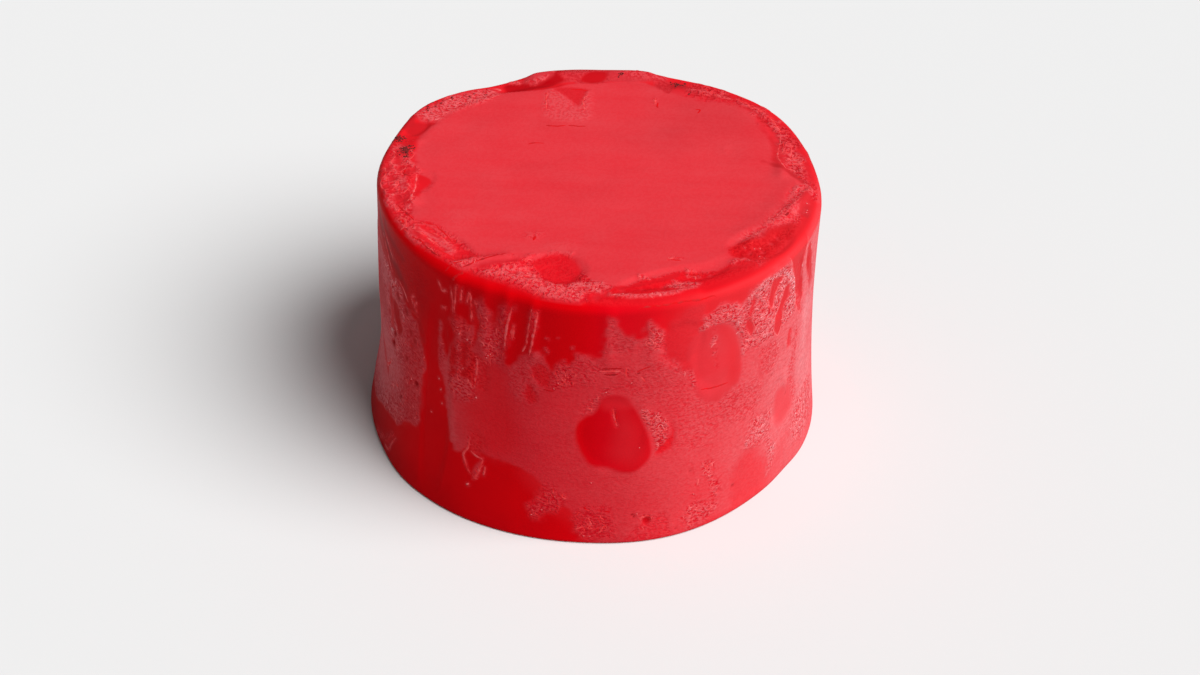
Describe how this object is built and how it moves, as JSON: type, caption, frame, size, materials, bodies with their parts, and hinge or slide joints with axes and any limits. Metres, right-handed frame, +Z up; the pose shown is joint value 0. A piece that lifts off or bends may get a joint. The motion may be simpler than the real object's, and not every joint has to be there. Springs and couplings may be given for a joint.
{
  "type": "bento cake",
  "caption": "Small round uncut cake, covered all over with smooth red cream with a rounded lip and smeared rim, standing on its flat foot.",
  "frame": {"origin": "centre of the flat foot that the cake stands on", "axes": "+Z up through the middle of the cake, -Y towards the front that the picture shows, +X to its right"},
  "size_m": [0.127, 0.1266, 0.0745],
  "materials": {
    "red_cream": "satin red cream, smoothed with a spatula, in places paler and frosted, in places bare and deeper red"
  },
  "bodies": {
    "root": {"cake": "red_cream"}
  },
  "joints": []
}
